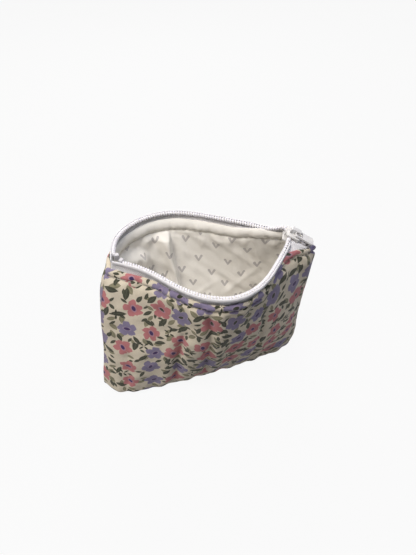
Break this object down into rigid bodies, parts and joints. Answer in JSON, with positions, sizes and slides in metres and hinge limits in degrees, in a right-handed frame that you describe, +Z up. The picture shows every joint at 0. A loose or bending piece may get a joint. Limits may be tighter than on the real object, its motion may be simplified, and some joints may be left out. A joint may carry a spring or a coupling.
{
  "type": "zippered pouch",
  "caption": "Small padded cloth pouch with a nylon zip, standing open on its base; the slider moves on the closed end and its pull turns.",
  "frame": {"origin": "middle of the base, on the surface that the pouch stands on, halfway along the bottom seam", "axes": "+X along the bottom seam towards the slider's end, +Y to the back panel, +Z up through the mouth"},
  "size_m": [0.1184, 0.0651, 0.0905],
  "materials": {
    "outer_cloth": "printed plain-weave cotton",
    "interfacing": "soft fleece",
    "lining_cloth": "printed plain-weave cotton",
    "zip_tape": "woven polyester tape",
    "zip_coil": "moulded nylon filament",
    "filler_cord": "twisted cord",
    "enamelled_metal": "gloss white enamel",
    "spring_steel": "bright"
  },
  "bodies": {
    "pouch": {"front_outer": "outer_cloth", "back_outer": "outer_cloth", "front_interfacing": "interfacing", "back_interfacing": "interfacing", "front_lining": "lining_cloth", "back_lining": "lining_cloth", "front_zip_tape": "zip_tape", "back_zip_tape": "zip_tape", "front_coil": "zip_coil", "back_coil": "zip_coil", "front_coil_cord": "filler_cord", "back_coil_cord": "filler_cord", "front_top_stop": "enamelled_metal", "back_top_stop": "enamelled_metal", "bottom_stop": "enamelled_metal"},
    "slider": {"slider_body": "enamelled_metal", "slider_cap": "enamelled_metal", "lock_spring": "spring_steel"},
    "pull": {"pull_tab": "enamelled_metal"}
  },
  "joints": [
    {"name": "slider_run", "type": "slide", "parent": "pouch", "child": "slider", "axis": [0.7867, -0.4008, -0.4695], "range_m": [0, 0.002]},
    {"name": "pull_hinge", "type": "hinge", "parent": "slider", "child": "pull", "pos_m": [0.04647, -0.0013, 0.08732], "axis": [-0.454, -0.891, 0], "range_deg": [0, 130]}
  ]
}
